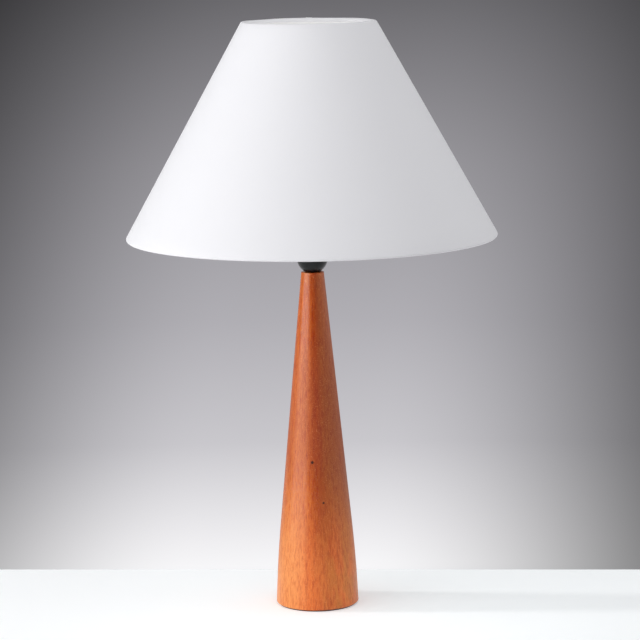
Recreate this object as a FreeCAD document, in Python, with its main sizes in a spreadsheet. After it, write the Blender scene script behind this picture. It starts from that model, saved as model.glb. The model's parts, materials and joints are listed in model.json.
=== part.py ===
import FreeCAD, Part
import math
import os
import re
import Sketcher

# Column table lamp: a turned, tapered wood column with a weighted foot, a domed
# lampholder on a threaded tube, and a wide coned fabric shade on a three-armed spider.
# Millimetres, +Z up. The origin is on the surface that the lamp stands on, in the
# middle of the foot. +Y is the back, where the cord would leave.

# Driving sizes. Every name has an underscore, so that expressions can tell them apart.
SIZES = {
    # Column
    "column_height": 432.0,
    "top_radius": 14.4,
    "waist_height": 112.0,
    "waist_radius": 45.4,
    "foot_radius": 53.0,
    "foot_round": 2.0,
    "swell_radius": 1750.0,
    "bore_clearance": 0.25,
    "recess_radius": 43.0,
    "recess_depth": 26.0,
    # Felt and weight
    "felt_thickness": 1.5,
    "felt_margin": 2.5,
    "weight_thickness": 20.0,
    "weight_clearance": 0.3,
    "well_radius": 18.0,
    "well_depth": 10.0,
    "channel_width": 9.0,
    # Threaded tube with its washer and nut
    "tube_radius": 5.0,
    "tube_bore": 4.0,
    "tube_overhang": 1.5,
    "tube_entry": 9.0,
    "washer_radius": 15.0,
    "washer_thickness": 2.0,
    "nut_width": 17.0,
    "nut_thickness": 4.0,
    "thread_clearance": 0.05,
    # Cord outlet
    "outlet_height": 12.0,
    "outlet_bore": 3.2,
    "bush_wall": 1.8,
    "bush_lip": 1.2,
    "lip_thickness": 1.6,
    "lip_setback": 2.0,
    "bush_clearance": 0.05,
    # Lampholder cap
    "dome_radius": 19.5,
    "dome_rise": 17.5,
    "cap_height": 28.0,
    "cap_wall": 2.5,
    "ledge_height": 17.0,
    "ledge_width": 2.5,
    "cap_floor": 7.5,
    "floor_slope": 3.5,
    "floor_inset": 1.7,
    "boss_radius": 9.5,
    "cap_bush_radius": 7.0,
    "cap_bush_seat": 1.0,
    "lock_screw_radius": 1.5,
    "lock_screw_length": 7.5,
    "lock_screw_height": 4.5,
    "screw_clearance": 0.1,
    # Contact block and its fittings
    "block_clearance": 0.3,
    "block_flange": 4.0,
    "block_drop": 5.0,
    "block_stem_radius": 12.0,
    "block_neck_radius": 13.4,
    "block_top": 29.5,
    "contact_well_radius": 5.0,
    "contact_well_depth": 3.5,
    "contact_span": 6.0,
    "contact_width": 5.0,
    "contact_gauge": 0.5,
    "small_screw_radius": 1.5,
    "small_screw_length": 5.0,
    "small_head_radius": 2.6,
    "small_head_height": 1.5,
    "terminal_spacing": 16.0,
    "wire_hole_radius": 1.6,
    "wire_hole_spacing": 15.0,
    "shell_screw_spacing": 19.6,
    # Screw shell
    "bulb_clearance": 0.3,
    "shell_gauge": 0.4,
    "shell_height": 24.5,
    "shell_opening": 7.0,
    # Skirt, shoulder and shade ring
    "collar_clearance": 0.1,
    "skirt_bore": 15.9,
    "shoulder_height": 49.0,
    "shoulder_radius": 23.0,
    "shoulder_thickness": 2.5,
    "skirt_height": 68.0,
    "skirt_thread_radius": 19.8,
    "ring_clearance": 0.3,
    "ring_flange_radius": 28.5,
    "ring_flange_thickness": 3.0,
    "ring_collar_wall": 3.2,
    "ring_height": 11.0,
    "ring_notch_radius": 1.4,
    # Shade fitter, arms and wires
    "fitter_hole": 21.0,
    "fitter_radius": 29.0,
    "fitter_gauge": 1.5,
    "fitter_lip": 7.0,
    "arm_drop": 2.0,
    "arm_radius": 2.0,
    "arm_gap": 0.1,
    "wire_radius": 1.75,
    # Shade
    "rim_radius": 235.5,
    "crown_radius": 86.0,
    "shade_height": 273.35,
    "cover_gauge": 0.5,
    "cover_gap": 0.3,
    "lining_gauge": 0.6,
    "lining_setback": 2.8,
    "slit_clearance": 0.3,
    # Bulb
    "bulb_radius": 30.0,
    "bulb_length": 105.0,
    "bulb_neck_radius": 13.8,
    "bulb_flare_angle": 35.0,
    "bulb_blend": 6.4,
    "globe_wall": 1.0,
    "bulb_cap_radius": 13.05,
    "bulb_cap_gauge": 0.3,
    "bulb_cap_top": 26.0,
    "bulb_tip_radius": 4.7,
    "bulb_tip_height": 1.5,
    "insulator_height": 4.0,
    "insulator_radius": 6.0,
    "insulator_rim": 1.5,
    "crimp_clearance": 0.1,
    "plate_clearance": 0.8,
    "plate_thickness": 1.6,
    "chip_width": 3.0,
    "chip_height": 0.8,
    "chip_circle": 15.0,
}

RING_NOTCHES = 16
ARM_ANGLES = (90, 210, 330)
CHIP_COUNT = 8

doc = FreeCAD.newDocument("ColumnLamp")
sheet = doc.addObject("Spreadsheet::Sheet", "Sizes")
for row, (name, size) in enumerate(SIZES.items(), start=1):
    sheet.set(f"A{row}", name.replace("_", " "))
    sheet.set(f"B{row}", str(size))
    sheet.setAlias(f"B{row}", name)
doc.recompute()

# Heights above the table that several pieces share
FELT_TOP = "felt_thickness"
RECESS_TOP = "(felt_thickness + recess_depth)"
WEIGHT_BOTTOM = f"({RECESS_TOP} - weight_thickness)"
WELL_TOP = f"({WEIGHT_BOTTOM} + well_depth)"
WASHER_BOTTOM = f"({WELL_TOP} - washer_thickness)"
NUT_BOTTOM = f"({WASHER_BOTTOM} - nut_thickness)"
TUBE_BOTTOM = f"({NUT_BOTTOM} - tube_overhang)"
TUBE_TOP = "(column_height + tube_entry)"
CAP_RIM = "(column_height + cap_height)"
LEDGE = "(column_height + ledge_height)"
BLOCK_TOP = "(column_height + block_top)"
COLLAR_BOTTOM = f"({LEDGE} + block_flange)"
SHOULDER = "(column_height + shoulder_height)"
BULB_SEAT = f"({BLOCK_TOP} - contact_well_depth + contact_span - contact_gauge)"

# Radii that mating pieces share
BORE = "(tube_radius + bore_clearance)"
CAP_BORE = "(dome_radius - cap_wall)"
OUTLET_RADIUS = "(outlet_bore + bush_wall)"
SHELL_BORE = "(bulb_cap_radius + bulb_clearance)"

# Shade wires: B is the bottom wire's centre and T the top wire's, as radius and height
ROLL_INNER = "(wire_radius + cover_gap)"
ROLL_OUTER = "(wire_radius + cover_gap + cover_gauge)"
B_RADIUS = f"(rim_radius - {ROLL_OUTER})"
B_HEIGHT = f"({SHOULDER} - arm_drop)"
T_RADIUS = f"(crown_radius - {ROLL_OUTER})"
T_HEIGHT = f"({B_HEIGHT} + shade_height - 2 * {ROLL_OUTER})"
SLANT = f"sqrt(({B_RADIUS} - {T_RADIUS})^2 + ({T_HEIGHT} - {B_HEIGHT})^2)"
LEAN = f"(({B_RADIUS} - {T_RADIUS}) / {SLANT})"
RISE = f"(({T_HEIGHT} - {B_HEIGHT}) / {SLANT})"

nodes = []


def value(text):
    """The number that an expression on the sizes gives."""
    return float(sheet.evalExpression(text))


def bound(text):
    """The expression with each size's name led back to the sheet."""
    return re.sub(r"\b([a-z]+(?:_[a-z]+)+)\b", r"Sizes.\1", text)


def bind(thing, setting, text):
    thing.setExpression(setting, bound(text))


def new_body(name):
    body = doc.addObject("PartDesign::Body", name.title().replace("_", ""))
    body.Label = name
    nodes.append(body)
    return body


def sketch_on(body, role, offset=None):
    """A sketch on one of the body's own origin planes, moved along its normal by offset."""
    sketch = body.newObject("Sketcher::SketchObject", body.Name + "Sketch")
    plane = [f for f in body.Origin.OriginFeatures if f.Role == role][0]
    sketch.AttachmentSupport = [(plane, "")]
    sketch.MapMode = "FlatFace"
    if offset:
        bind(sketch, ".AttachmentOffset.Base.z", offset)
    return sketch


def pin_point(sketch, geometry, end, across, up):
    """Hold a sketch point at two expressions, measured from the sketch's origin."""
    for kind, axis, text in (("DistanceX", -2, across), ("DistanceY", -1, up)):
        size = value(text)
        if abs(size) < 1e-9:
            sketch.addConstraint(Sketcher.Constraint("PointOnObject", geometry, end, axis))
        elif size > 0:
            index = sketch.addConstraint(Sketcher.Constraint(kind, -1, 1, geometry, end, size))
            bind(sketch, f"Constraints[{index}]", text)
        else:
            index = sketch.addConstraint(Sketcher.Constraint(kind, geometry, end, -1, 1, -size))
            bind(sketch, f"Constraints[{index}]", f"-({text})")


def arc_between(start, end, radius, turn):
    """An arc of under half a circle from start to end, turning left or right."""
    chord = end - start
    middle = (start + end) * 0.5
    side = FreeCAD.Vector(-chord.y, chord.x, 0).normalize()
    reach = math.sqrt(max(radius**2 - (chord.Length / 2) ** 2, 0.0))
    centre = middle + side * (reach if turn == "left" else -reach)
    first, last = (start, end) if turn == "left" else (end, start)
    angle_first = math.atan2(first.y - centre.y, first.x - centre.x)
    angle_last = math.atan2(last.y - centre.y, last.x - centre.x)
    circle = Part.Circle(centre, FreeCAD.Vector(0, 0, 1), radius)
    return Part.ArcOfCircle(circle, angle_first, angle_last)


def outline(sketch, corners, curves=None):
    """A closed outline through the corners. curves gives the edges that are arcs:
    the number of the corner they start from, with their radius and turn."""
    curves = curves or {}
    points = [FreeCAD.Vector(value(x), value(y), 0) for x, y in corners]
    edges = []
    for number, start in enumerate(points):
        end = points[(number + 1) % len(points)]
        if number in curves:
            radius, turn = curves[number]
            edge = sketch.addGeometry(arc_between(start, end, value(radius), turn), False)
            index = sketch.addConstraint(Sketcher.Constraint("Radius", edge, value(radius)))
            bind(sketch, f"Constraints[{index}]", radius)
            edges.append((edge, 1, 2) if turn == "left" else (edge, 2, 1))
        else:
            edges.append((sketch.addGeometry(Part.LineSegment(start, end), False), 1, 2))
    for number, (edge, start_end, finish_end) in enumerate(edges):
        following, following_start, _ = edges[(number + 1) % len(edges)]
        joint = Sketcher.Constraint("Coincident", edge, finish_end, following, following_start)
        sketch.addConstraint(joint)
        pin_point(sketch, edge, start_end, *corners[number])


def circle_at(sketch, across, up, radius):
    centre = FreeCAD.Vector(value(across), value(up), 0)
    shape = Part.Circle(centre, FreeCAD.Vector(0, 0, 1), value(radius))
    ring = sketch.addGeometry(shape, False)
    pin_point(sketch, ring, 3, across, up)
    index = sketch.addConstraint(Sketcher.Constraint("Radius", ring, value(radius)))
    bind(sketch, f"Constraints[{index}]", radius)


def revolve(body, corners, curves=None):
    """Turn an outline of radius and height pairs about the vertical axis."""
    sketch = sketch_on(body, "XZ_Plane")
    outline(sketch, corners, curves)
    turned = body.newObject("PartDesign::Revolution", body.Name + "Turned")
    turned.Profile = sketch
    turned.ReferenceAxis = (sketch, ["V_Axis"])
    turned.Angle = 360
    doc.recompute()
    return turned


def turned_piece(name, corners, curves=None):
    body = new_body(name)
    revolve(body, corners, curves)
    return body


def pocket(body, sketch, depth, backwards=False):
    """Cut the sketch into the body by depth, and make sure that something was cut."""
    before = body.Shape.Volume
    cut = body.newObject("PartDesign::Pocket", body.Name + "Pocket")
    cut.Profile = sketch
    cut.Type = "Length"
    cut.Reversed = backwards
    bind(cut, "Length", depth)
    doc.recompute()
    if not body.Shape.Volume < before:
        raise ValueError(f"{body.Label}: a pocket cut nothing")
    return cut


def polar_pattern(body, feature, count):
    pattern = body.newObject("PartDesign::PolarPattern", body.Name + "Pattern")
    axis = [f for f in body.Origin.OriginFeatures if f.Role == "Z_Axis"][0]
    pattern.Originals = [feature]
    pattern.Axis = (axis, [""])
    pattern.Angle = 360
    pattern.Occurrences = count
    body.Tip = pattern
    doc.recompute()
    return pattern


def cylinder(name, radius, height, base, direction):
    """A cylinder from base, three expressions, along a fixed direction."""
    rod = doc.addObject("Part::Cylinder", name)
    bind(rod, "Radius", radius)
    bind(rod, "Height", height)
    turn = FreeCAD.Rotation(FreeCAD.Vector(0, 0, 1), direction)
    rod.Placement = FreeCAD.Placement(FreeCAD.Vector(), turn)
    for axis, text in zip("xyz", base):
        bind(rod, f".Placement.Base.{axis}", text)
    return rod


def group(name, members):
    """Identical pieces that share one node, each its own solid."""
    whole = doc.addObject("Part::Compound", name.title().replace("_", ""))
    whole.Label = name
    whole.Links = members
    nodes.append(whole)
    return whole


def along_shade(wire_radius_text, wire_height_text, up_slope, outward):
    """A point near a shade wire: up_slope along the cone's side and outward square to it."""
    radius = f"{wire_radius_text} - ({up_slope}) * {LEAN} + ({outward}) * {RISE}"
    height = f"{wire_height_text} + ({up_slope}) * {RISE} + ({outward}) * {LEAN}"
    return radius, height


# Column: straight taper from the top to the waist, then a shallow swell to the foot.
# The bore carries the tube, and the recess under the foot carries the weight.
column = turned_piece(
    "column",
    [
        (BORE, RECESS_TOP),
        ("recess_radius", RECESS_TOP),
        ("recess_radius", FELT_TOP),
        ("foot_radius - foot_round", FELT_TOP),
        ("foot_radius", f"{FELT_TOP} + foot_round"),
        ("waist_radius", "waist_height"),
        ("top_radius", "column_height"),
        (BORE, "column_height"),
    ],
    {3: ("foot_round", "left"), 4: ("swell_radius", "left")},
)

# Cord outlet through the foot's wall at the back, with a flat seat for the bush's lip
outlet = sketch_on(column, "XZ_Plane")
circle_at(outlet, "0", "outlet_height", f"{OUTLET_RADIUS} + bush_clearance")
pocket(column, outlet, "foot_radius + lip_thickness")
lip_seat = sketch_on(column, "XZ_Plane", "lip_setback - foot_radius")
circle_at(lip_seat, "0", "outlet_height", f"{OUTLET_RADIUS} + bush_lip + bush_clearance")
pocket(column, lip_seat, "lip_setback + lip_thickness")

turned_piece(
    "felt_pad",
    [
        ("0", "0"),
        ("foot_radius - felt_margin", "0"),
        ("foot_radius - felt_margin", FELT_TOP),
        ("0", FELT_TOP),
    ],
)

# Weight: a disc with a well below for the washer and nut, and a channel for the cord
weight = turned_piece(
    "base_weight",
    [
        (BORE, WELL_TOP),
        ("well_radius", WELL_TOP),
        ("well_radius", WEIGHT_BOTTOM),
        ("recess_radius - weight_clearance", WEIGHT_BOTTOM),
        ("recess_radius - weight_clearance", RECESS_TOP),
        (BORE, RECESS_TOP),
    ],
)
channel = sketch_on(weight, "XY_Plane", WEIGHT_BOTTOM)
outline(
    channel,
    [
        ("-channel_width / 2", "0"),
        ("channel_width / 2", "0"),
        ("channel_width / 2", "recess_radius"),
        ("-channel_width / 2", "recess_radius"),
    ],
)
pocket(weight, channel, "well_depth", backwards=True)

turned_piece(
    "threaded_tube",
    [
        ("tube_bore", TUBE_BOTTOM),
        ("tube_radius", TUBE_BOTTOM),
        ("tube_radius", TUBE_TOP),
        ("tube_bore", TUBE_TOP),
    ],
)

turned_piece(
    "tube_washer",
    [
        (BORE, WASHER_BOTTOM),
        ("washer_radius", WASHER_BOTTOM),
        ("washer_radius", WELL_TOP),
        (BORE, WELL_TOP),
    ],
)

# Hexagon nut on the tube
nut_blank = doc.addObject("Part::Prism", "NutBlank")
nut_blank.Polygon = 6
bind(nut_blank, "Circumradius", "nut_width / sqrt(3)")
bind(nut_blank, "Height", "nut_thickness")
bind(nut_blank, ".Placement.Base.z", NUT_BOTTOM)
nut_bore = cylinder(
    "NutBore",
    "tube_radius + thread_clearance",
    "nut_thickness",
    ("0", "0", NUT_BOTTOM),
    FreeCAD.Vector(0, 0, 1),
)
tube_nut = doc.addObject("Part::Cut", "TubeNut")
tube_nut.Label = "tube_nut"
tube_nut.Base = nut_blank
tube_nut.Tool = nut_bore
nodes.append(tube_nut)

# Bush that lines the outlet: a sleeve through the wall and a lip in its flat seat.
# It is turned about Z and then laid along +Y.
BUSH_DEPTH = "(foot_radius - lip_setback - recess_radius)"
cord_bush = turned_piece(
    "cord_bush",
    [
        ("outlet_bore", f"0 - {BUSH_DEPTH}"),
        (OUTLET_RADIUS, f"0 - {BUSH_DEPTH}"),
        (OUTLET_RADIUS, "0"),
        (f"{OUTLET_RADIUS} + bush_lip", "0"),
        (f"{OUTLET_RADIUS} + bush_lip", "lip_thickness / 2"),
        (f"{OUTLET_RADIUS} + bush_lip - lip_thickness / 2", "lip_thickness"),
        ("outlet_bore", "lip_thickness"),
    ],
    {4: ("lip_thickness / 2", "left")},
)
towards_back = FreeCAD.Rotation(FreeCAD.Vector(1, 0, 0), -90)
cord_bush.Placement = FreeCAD.Placement(FreeCAD.Vector(), towards_back)
bind(cord_bush, ".Placement.Base.y", "foot_radius - lip_setback")
bind(cord_bush, ".Placement.Base.z", "outlet_height")

# Holder cap: a dome with a flat hub on the column, hollow above, with a ledge for the
# contact block and a boss round the threaded bush
CAP_FLOOR = "(column_height + cap_floor)"
HUB_RADIUS = "sqrt(dome_radius^2 - dome_rise^2)"
LEDGE_RADIUS = f"({CAP_BORE} - ledge_width)"
holder_cap = turned_piece(
    "holder_cap",
    [
        (BORE, "column_height"),
        (HUB_RADIUS, "column_height"),
        ("dome_radius", "column_height + dome_rise"),
        ("dome_radius", CAP_RIM),
        (CAP_BORE, CAP_RIM),
        (CAP_BORE, LEDGE),
        (LEDGE_RADIUS, LEDGE),
        (LEDGE_RADIUS, f"{CAP_FLOOR} + floor_slope"),
        (f"{LEDGE_RADIUS} - floor_inset", CAP_FLOOR),
        ("boss_radius", CAP_FLOOR),
        ("boss_radius", TUBE_TOP),
        ("cap_bush_radius", TUBE_TOP),
        ("cap_bush_radius", "column_height + cap_bush_seat"),
        (BORE, "column_height + cap_bush_seat"),
    ],
    {1: ("dome_radius", "left")},
)
LOCK_HEIGHT = "column_height + lock_screw_height"
lock_hole = sketch_on(holder_cap, "XZ_Plane")
circle_at(lock_hole, "0", LOCK_HEIGHT, "lock_screw_radius + screw_clearance")
pocket(holder_cap, lock_hole, "dome_radius")

cap_bush = turned_piece(
    "cap_bush",
    [
        ("tube_radius + thread_clearance", "column_height + cap_bush_seat"),
        ("cap_bush_radius", "column_height + cap_bush_seat"),
        ("cap_bush_radius", TUBE_TOP),
        ("tube_radius + thread_clearance", TUBE_TOP),
    ],
)
bush_hole = sketch_on(cap_bush, "XZ_Plane")
circle_at(bush_hole, "0", LOCK_HEIGHT, "lock_screw_radius + screw_clearance")
pocket(cap_bush, bush_hole, "dome_radius")

lock_screw = cylinder(
    "CapLockScrew",
    "lock_screw_radius",
    "lock_screw_length",
    ("0", "tube_radius + thread_clearance", LOCK_HEIGHT),
    FreeCAD.Vector(0, 1, 0),
)
lock_screw.Label = "cap_lock_screw"
nodes.append(lock_screw)

# Contact block: its flange is held between the cap's ledge and the skirt's collar
BLOCK_BOTTOM = f"({LEDGE} - block_drop)"
contact_block = turned_piece(
    "contact_block",
    [
        ("0", BLOCK_BOTTOM),
        ("block_stem_radius", BLOCK_BOTTOM),
        ("block_stem_radius", LEDGE),
        (f"{CAP_BORE} - block_clearance", LEDGE),
        (f"{CAP_BORE} - block_clearance", COLLAR_BOTTOM),
        ("block_neck_radius", COLLAR_BOTTOM),
        ("block_neck_radius", BLOCK_TOP),
        ("contact_well_radius", BLOCK_TOP),
        ("contact_well_radius", f"{BLOCK_TOP} - contact_well_depth"),
        ("0", f"{BLOCK_TOP} - contact_well_depth"),
    ],
)
SCREW_HOLE = "small_screw_radius + screw_clearance"
HOLE_DEPTH = "small_screw_length + screw_clearance"
terminal_holes = sketch_on(contact_block, "XY_Plane", BLOCK_BOTTOM)
circle_at(terminal_holes, "terminal_spacing / 2", "0", SCREW_HOLE)
circle_at(terminal_holes, "-terminal_spacing / 2", "0", SCREW_HOLE)
pocket(contact_block, terminal_holes, HOLE_DEPTH, backwards=True)
shell_holes = sketch_on(contact_block, "XY_Plane", BLOCK_TOP)
circle_at(shell_holes, "shell_screw_spacing / 2", "0", SCREW_HOLE)
circle_at(shell_holes, "-shell_screw_spacing / 2", "0", SCREW_HOLE)
pocket(contact_block, shell_holes, HOLE_DEPTH)
wire_holes = sketch_on(contact_block, "XY_Plane", BLOCK_TOP)
circle_at(wire_holes, "0", "wire_hole_spacing / 2", "wire_hole_radius")
circle_at(wire_holes, "0", "-wire_hole_spacing / 2", "wire_hole_radius")
pocket(contact_block, wire_holes, f"{BLOCK_TOP} - {BLOCK_BOTTOM}")

# Centre contact: a strip bent into a C, its foot in the block's well
CONTACT_FLOOR = f"({BLOCK_TOP} - contact_well_depth)"
HALF_SPAN = "contact_span / 2"
centre_contact = new_body("centre_contact")
strip = sketch_on(centre_contact, "XZ_Plane")
outline(
    strip,
    [
        (f"-{HALF_SPAN}", CONTACT_FLOOR),
        (HALF_SPAN, CONTACT_FLOOR),
        (HALF_SPAN, BULB_SEAT),
        (f"-{HALF_SPAN}", BULB_SEAT),
        (f"-{HALF_SPAN}", f"{BULB_SEAT} - contact_gauge"),
        (f"{HALF_SPAN} - contact_gauge", f"{BULB_SEAT} - contact_gauge"),
        (f"{HALF_SPAN} - contact_gauge", f"{CONTACT_FLOOR} + contact_gauge"),
        (f"-{HALF_SPAN}", f"{CONTACT_FLOOR} + contact_gauge"),
    ],
)
strip_pad = centre_contact.newObject("PartDesign::Pad", "ContactPad")
strip_pad.Profile = strip
strip_pad.Midplane = True
bind(strip_pad, "Length", "contact_width")
doc.recompute()


def small_screw(name, across, head_height, upwards):
    """A pan-headed screw whose head rests at head_height and whose shank points away."""
    shank_way = 1 if upwards else -1
    head_way = -shank_way
    shank = cylinder(
        name + "Shank",
        "small_screw_radius",
        "small_screw_length",
        (across, "0", head_height),
        FreeCAD.Vector(0, 0, shank_way),
    )
    head = cylinder(
        name + "Head",
        "small_head_radius",
        "small_head_height",
        (across, "0", head_height),
        FreeCAD.Vector(0, 0, head_way),
    )
    screw = doc.addObject("Part::Fuse", name)
    screw.Base = shank
    screw.Tool = head
    return screw


terminal_pair = [
    small_screw("TerminalLeft", "-terminal_spacing / 2", BLOCK_BOTTOM, True),
    small_screw("TerminalRight", "terminal_spacing / 2", BLOCK_BOTTOM, True),
]
group("terminal_screws", terminal_pair)

SHELL_FLOOR = f"({BLOCK_TOP} + shell_gauge)"
shell_pair = [
    small_screw("ShellLeft", "-shell_screw_spacing / 2", SHELL_FLOOR, False),
    small_screw("ShellRight", "shell_screw_spacing / 2", SHELL_FLOOR, False),
]
group("shell_screws", shell_pair)

# Screw shell: a thin cup on the block, open in the middle for the centre contact
thread_shell = turned_piece(
    "thread_shell",
    [
        ("shell_opening", BLOCK_TOP),
        (f"{SHELL_BORE} + shell_gauge", BLOCK_TOP),
        (f"{SHELL_BORE} + shell_gauge", f"{BLOCK_TOP} + shell_height"),
        (SHELL_BORE, f"{BLOCK_TOP} + shell_height"),
        (SHELL_BORE, SHELL_FLOOR),
        ("shell_opening", SHELL_FLOOR),
    ],
)
floor_holes = sketch_on(thread_shell, "XY_Plane", SHELL_FLOOR)
circle_at(floor_holes, "shell_screw_spacing / 2", "0", SCREW_HOLE)
circle_at(floor_holes, "-shell_screw_spacing / 2", "0", SCREW_HOLE)
pocket(thread_shell, floor_holes, "shell_gauge")

# Skirt: a collar inside the cap, a plain barrel, the shoulder that the shade rests on,
# and the thread for the shade ring
COLLAR_RADIUS = f"({CAP_BORE} - collar_clearance)"
turned_piece(
    "holder_skirt",
    [
        ("skirt_bore", COLLAR_BOTTOM),
        (COLLAR_RADIUS, COLLAR_BOTTOM),
        (COLLAR_RADIUS, CAP_RIM),
        ("dome_radius", CAP_RIM),
        ("dome_radius", f"{SHOULDER} - shoulder_thickness"),
        ("shoulder_radius", f"{SHOULDER} - shoulder_thickness"),
        ("shoulder_radius", SHOULDER),
        ("skirt_thread_radius", SHOULDER),
        ("skirt_thread_radius", "column_height + skirt_height"),
        ("skirt_bore", "column_height + skirt_height"),
    ],
)

# Shade ring: a flange that presses on the fitter and a threaded collar, with grip
# notches round the flange
RING_BORE = "(skirt_thread_radius + ring_clearance)"
RING_BOTTOM = f"({SHOULDER} + fitter_gauge)"
shade_ring = turned_piece(
    "shade_ring",
    [
        (RING_BORE, RING_BOTTOM),
        ("ring_flange_radius", RING_BOTTOM),
        ("ring_flange_radius", f"{RING_BOTTOM} + ring_flange_thickness"),
        (f"{RING_BORE} + ring_collar_wall", f"{RING_BOTTOM} + ring_flange_thickness"),
        (f"{RING_BORE} + ring_collar_wall", f"{RING_BOTTOM} + ring_height"),
        (RING_BORE, f"{RING_BOTTOM} + ring_height"),
    ],
)
notch_sketch = sketch_on(shade_ring, "XY_Plane", RING_BOTTOM)
circle_at(notch_sketch, "ring_flange_radius + ring_notch_radius / 2", "0", "ring_notch_radius")
notch = pocket(shade_ring, notch_sketch, "ring_flange_thickness", backwards=True)
polar_pattern(shade_ring, notch, RING_NOTCHES)

# Fitter ring: a flat flange on the skirt's shoulder with a lip turned down
turned_piece(
    "fitter_ring",
    [
        ("fitter_hole", SHOULDER),
        ("fitter_radius", SHOULDER),
        ("fitter_radius", f"{RING_BOTTOM} - fitter_lip"),
        ("fitter_radius + fitter_gauge", f"{RING_BOTTOM} - fitter_lip"),
        ("fitter_radius + fitter_gauge", RING_BOTTOM),
        ("fitter_hole", RING_BOTTOM),
    ],
)

# Spider arms from the fitter's lip to the bottom wire
ARM_START = "(fitter_radius + fitter_gauge)"
ARM_LENGTH = f"{B_RADIUS} - wire_radius - arm_gap - {ARM_START}"


def arm(name, angle, radius, length):
    along = FreeCAD.Vector(math.cos(math.radians(angle)), math.sin(math.radians(angle)), 0)
    base = (f"{ARM_START} * cos({angle} deg)", f"{ARM_START} * sin({angle} deg)", B_HEIGHT)
    return cylinder(name, radius, length, base, along)


arms = [arm(f"Arm{angle}", angle, "arm_radius", ARM_LENGTH) for angle in ARM_ANGLES]
group("spider_arms", arms)


def wire_ring(name, radius, height):
    ring = doc.addObject("Part::Torus", name.title().replace("_", ""))
    ring.Label = name
    bind(ring, "Radius1", radius)
    bind(ring, "Radius2", "wire_radius")
    bind(ring, ".Placement.Base.z", height)
    nodes.append(ring)
    return ring


wire_ring("bottom_ring", B_RADIUS, B_HEIGHT)
wire_ring("top_ring", T_RADIUS, T_HEIGHT)

# Lining: the stiff sheet behind the fabric, from wire to wire
LINING_INNER = f"({ROLL_INNER} - cover_gap - lining_gauge)"
LINING_OUTER = f"({ROLL_INNER} - cover_gap)"
turned_piece(
    "shade_lining",
    [
        along_shade(B_RADIUS, B_HEIGHT, "lining_setback", LINING_INNER),
        along_shade(B_RADIUS, B_HEIGHT, "lining_setback", LINING_OUTER),
        along_shade(T_RADIUS, T_HEIGHT, "-lining_setback", LINING_OUTER),
        along_shade(T_RADIUS, T_HEIGHT, "-lining_setback", LINING_INNER),
    ],
)


def wire_wrap(radius_text, height_text, roll, start_quarter, quarters, way):
    """Corners at each quarter turn round a wire, on the outside or inside of the wrap.
    Quarter 0 points out of the shade, 1 up its side, 2 into it and 3 down its side."""
    steps = [("0", roll), (roll, "0"), ("0", f"-{roll}"), (f"-{roll}", "0")]
    corners = []
    for step in range(quarters + 1):
        up_slope, outward = steps[(start_quarter + way * step) % 4]
        corners.append(along_shade(radius_text, height_text, up_slope, outward))
    return corners


# Cover: the fabric, with each edge rolled three quarters round its wire and tucked
# behind it. The outline runs round the bottom wire and back, then round the top one.
below_outside = wire_wrap(B_RADIUS, B_HEIGHT, ROLL_OUTER, 0, 3, -1)
below_inside = wire_wrap(B_RADIUS, B_HEIGHT, ROLL_INNER, 1, 3, 1)
above_inside = wire_wrap(T_RADIUS, T_HEIGHT, ROLL_INNER, 0, 3, 1)
above_outside = wire_wrap(T_RADIUS, T_HEIGHT, ROLL_OUTER, 3, 3, -1)
cover_curves = {}
for first, roll, turn in (
    (0, ROLL_OUTER, "right"),
    (4, ROLL_INNER, "left"),
    (8, ROLL_INNER, "left"),
    (12, ROLL_OUTER, "right"),
):
    for quarter in range(3):
        cover_curves[first + quarter] = (roll, turn)
cover_whole = turned_piece(
    "shade_cover",
    below_outside + below_inside + above_inside + above_outside,
    cover_curves,
)

# Slits in the rolled edge where the arms reach the wire
for angle in ARM_ANGLES:
    slit = cover_whole.newObject("PartDesign::SubtractiveCylinder", f"Slit{angle}")
    bind(slit, "Radius", "arm_radius + slit_clearance")
    bind(slit, "Height", ROLL_OUTER)
    plane = [f for f in cover_whole.Origin.OriginFeatures if f.Role == "XY_Plane"][0]
    slit.AttachmentSupport = [(plane, "")]
    slit.MapMode = "FlatFace"
    along = FreeCAD.Vector(math.cos(math.radians(angle)), math.sin(math.radians(angle)), 0)
    turn = FreeCAD.Rotation(FreeCAD.Vector(0, 0, 1), along)
    slit.AttachmentOffset = FreeCAD.Placement(FreeCAD.Vector(), turn)
    reach = f"({B_RADIUS} - {ROLL_OUTER} - slit_clearance)"
    bind(slit, ".AttachmentOffset.Base.x", f"{reach} * cos({angle} deg)")
    bind(slit, ".AttachmentOffset.Base.y", f"{reach} * sin({angle} deg)")
    bind(slit, ".AttachmentOffset.Base.z", B_HEIGHT)
    doc.recompute()

# Bulb, from its tip on the centre contact upwards
TIP_TOP = f"({BULB_SEAT} + bulb_tip_height)"
INSULATOR_TOP = f"({TIP_TOP} + insulator_height)"
CAP_TOP = f"({BULB_SEAT} + bulb_cap_top)"
GLOBE_CENTRE = f"({BULB_SEAT} + bulb_length - bulb_radius)"
CAP_INSIDE = "(bulb_cap_radius - bulb_cap_gauge)"
HOUSING_FOOT = f"({INSULATOR_TOP} + insulator_rim)"
turned_piece(
    "bulb_tip",
    [
        ("0", BULB_SEAT),
        ("bulb_tip_radius - bulb_tip_height / 2", BULB_SEAT),
        ("bulb_tip_radius", TIP_TOP),
        ("0", TIP_TOP),
    ],
)
turned_piece(
    "bulb_insulator",
    [
        ("0", TIP_TOP),
        ("insulator_radius", TIP_TOP),
        (CAP_INSIDE, INSULATOR_TOP),
        (CAP_INSIDE, HOUSING_FOOT),
        ("0", HOUSING_FOOT),
    ],
)
turned_piece(
    "bulb_cap",
    [
        (CAP_INSIDE, INSULATOR_TOP),
        ("bulb_cap_radius", INSULATOR_TOP),
        ("bulb_cap_radius", CAP_TOP),
        (CAP_INSIDE, CAP_TOP),
    ],
)

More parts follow.
